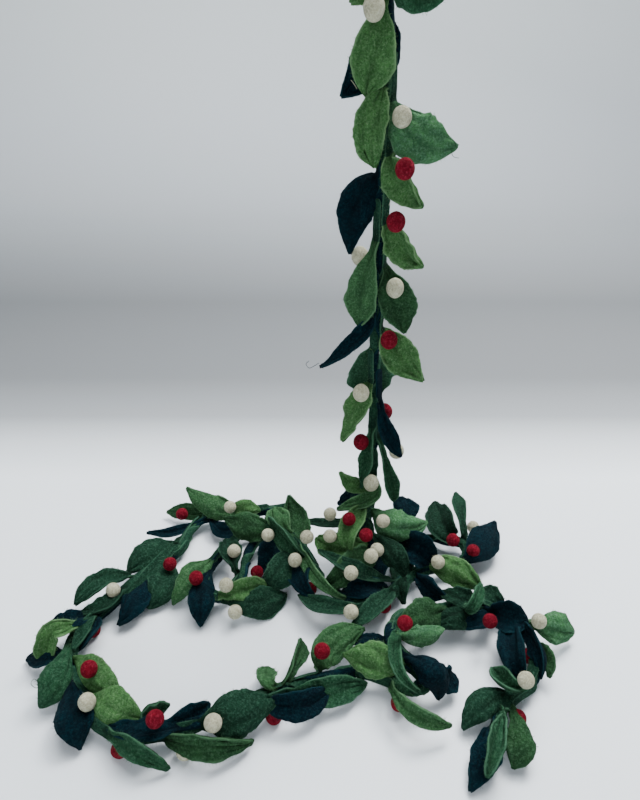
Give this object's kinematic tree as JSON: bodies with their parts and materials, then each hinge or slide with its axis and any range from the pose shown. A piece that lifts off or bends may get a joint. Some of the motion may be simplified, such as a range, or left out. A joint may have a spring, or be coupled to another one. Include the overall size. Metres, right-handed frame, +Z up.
{
  "type": "felt holly garland",
  "caption": "Long garland of pointed green felt leaves and small white and red felt berries on a soft felt stem, its top hanging and the rest lying in loops.",
  "frame": {"origin": "centre of the stem's top end, where the garland is held", "axes": "+Z up along the hanging part of the stem, +X to the right and -Y towards the viewer; the surface the loops lie on is 409 mm below the origin"},
  "size_m": [0.3602, 0.2519, 0.409],
  "materials": {
    "felt_green": "matt wool felt, leaves cut from light, mid and blue-black green sheets",
    "felt_white": "matt wool felt ball, off-white",
    "felt_red": "matt wool felt ball, deep red"
  },
  "bodies": {
    "root": {"hanging_strand": "felt_green", "pile": "felt_green", "far_arc": "felt_green", "near_arc": "felt_green", "tail": "felt_green", "berry_01": "felt_white", "berry_02": "felt_white", "berry_03": "felt_red", "berry_04": "felt_red", "berry_05": "felt_white", "berry_06": "felt_white", "berry_07": "felt_red", "berry_08": "felt_white", "berry_09": "felt_red", "berry_10": "felt_red", "berry_11": "felt_white", "berry_12": "felt_white", "berry_13": "felt_red", "berry_14": "felt_white", "berry_15": "felt_white", "berry_16": "felt_white", "berry_17": "felt_red", "berry_18": "felt_white", "berry_19": "felt_white", "berry_20": "felt_white", "berry_21": "felt_white", "berry_22": "felt_white", "berry_23": "felt_red", "berry_24": "felt_white", "berry_25": "felt_red", "berry_26": "felt_white", "berry_27": "felt_white", "berry_28": "felt_white", "berry_29": "felt_red", "berry_30": "felt_white", "berry_31": "felt_white", "berry_32": "felt_red", "berry_33": "felt_white", "berry_34": "felt_white", "berry_35": "felt_red", "berry_36": "felt_red", "berry_37": "felt_white", "berry_38": "felt_red", "berry_39": "felt_white", "berry_40": "felt_red", "berry_41": "felt_red", "berry_42": "felt_white", "berry_43": "felt_white", "berry_44": "felt_red", "berry_45": "felt_red", "berry_46": "felt_red", "berry_47": "felt_red", "berry_48": "felt_white", "berry_49": "felt_white", "berry_50": "felt_red"}
  },
  "joints": []
}
